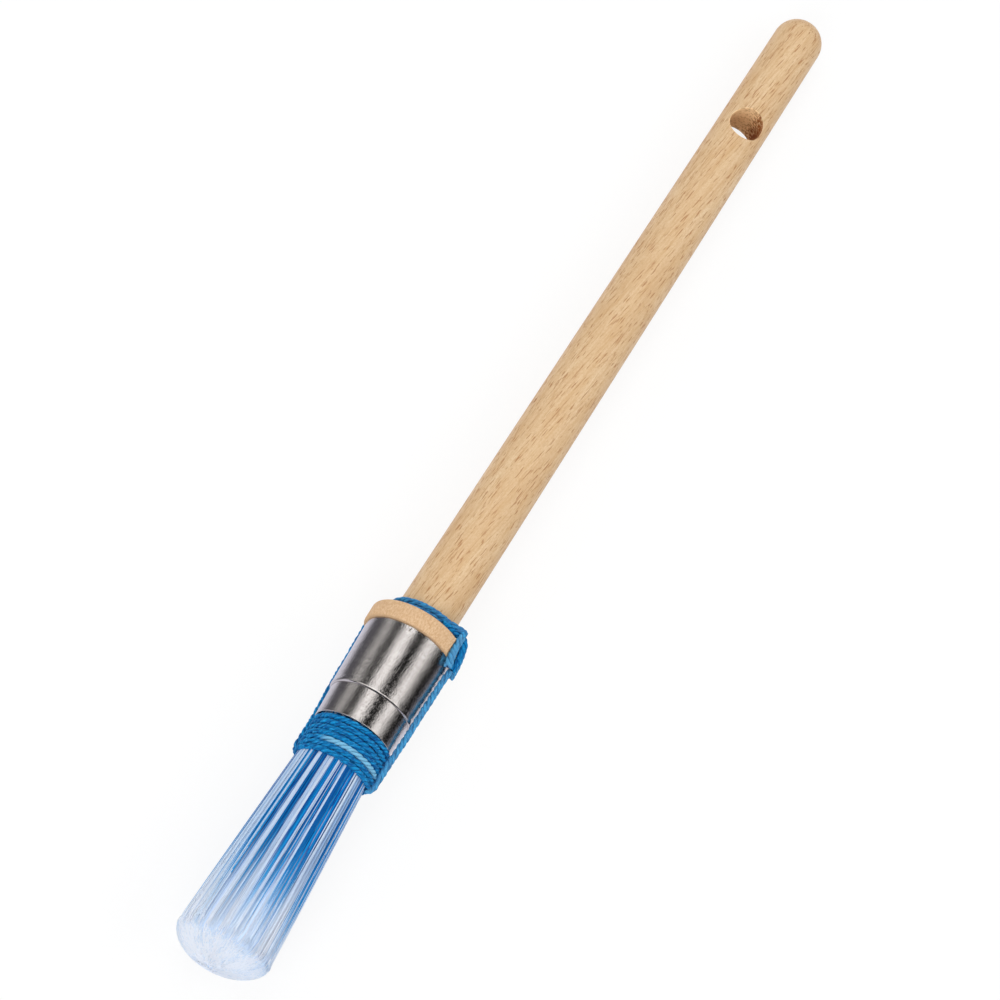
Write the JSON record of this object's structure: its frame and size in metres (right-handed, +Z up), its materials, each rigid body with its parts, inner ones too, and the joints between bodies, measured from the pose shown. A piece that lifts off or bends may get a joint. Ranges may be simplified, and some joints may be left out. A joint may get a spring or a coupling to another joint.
{
  "type": "round paint brush",
  "caption": "Round paint brush with a long tapered wooden handle, hanging hole, stepped steel ferrule and domed filament head bound with string.",
  "frame": {"origin": "under the middle of the part's box, on the surface that the brush lies on", "axes": "+X along the brush towards the hanging hole, +Z up; the hole's axis stands in the XZ plane"},
  "size_m": [0.293, 0.025, 0.026],
  "materials": {
    "handle_wood": "turned and sanded beech with a thin matt varnish",
    "collar_fibre": "pressed fibreboard, turned, bare",
    "ferrule_steel": "drawn and brushed stainless steel",
    "resin": "cast epoxy",
    "filament_blue": "drawn polyester filament with tapered tips",
    "filament_white": "drawn polyester filament with tapered tips",
    "twine": "twisted three-ply synthetic twine"
  },
  "bodies": {
    "root": {"handle": "handle_wood", "collar": "collar_fibre", "ferrule": "ferrule_steel", "resin_plug": "resin", "bristles_blue": "filament_blue", "bristles_white": "filament_white", "string_whipping": "twine", "string_leg_left": "twine", "string_leg_right": "twine", "string_neck_loop": "twine", "string_end": "twine", "string_knot": "twine"}
  },
  "joints": []
}
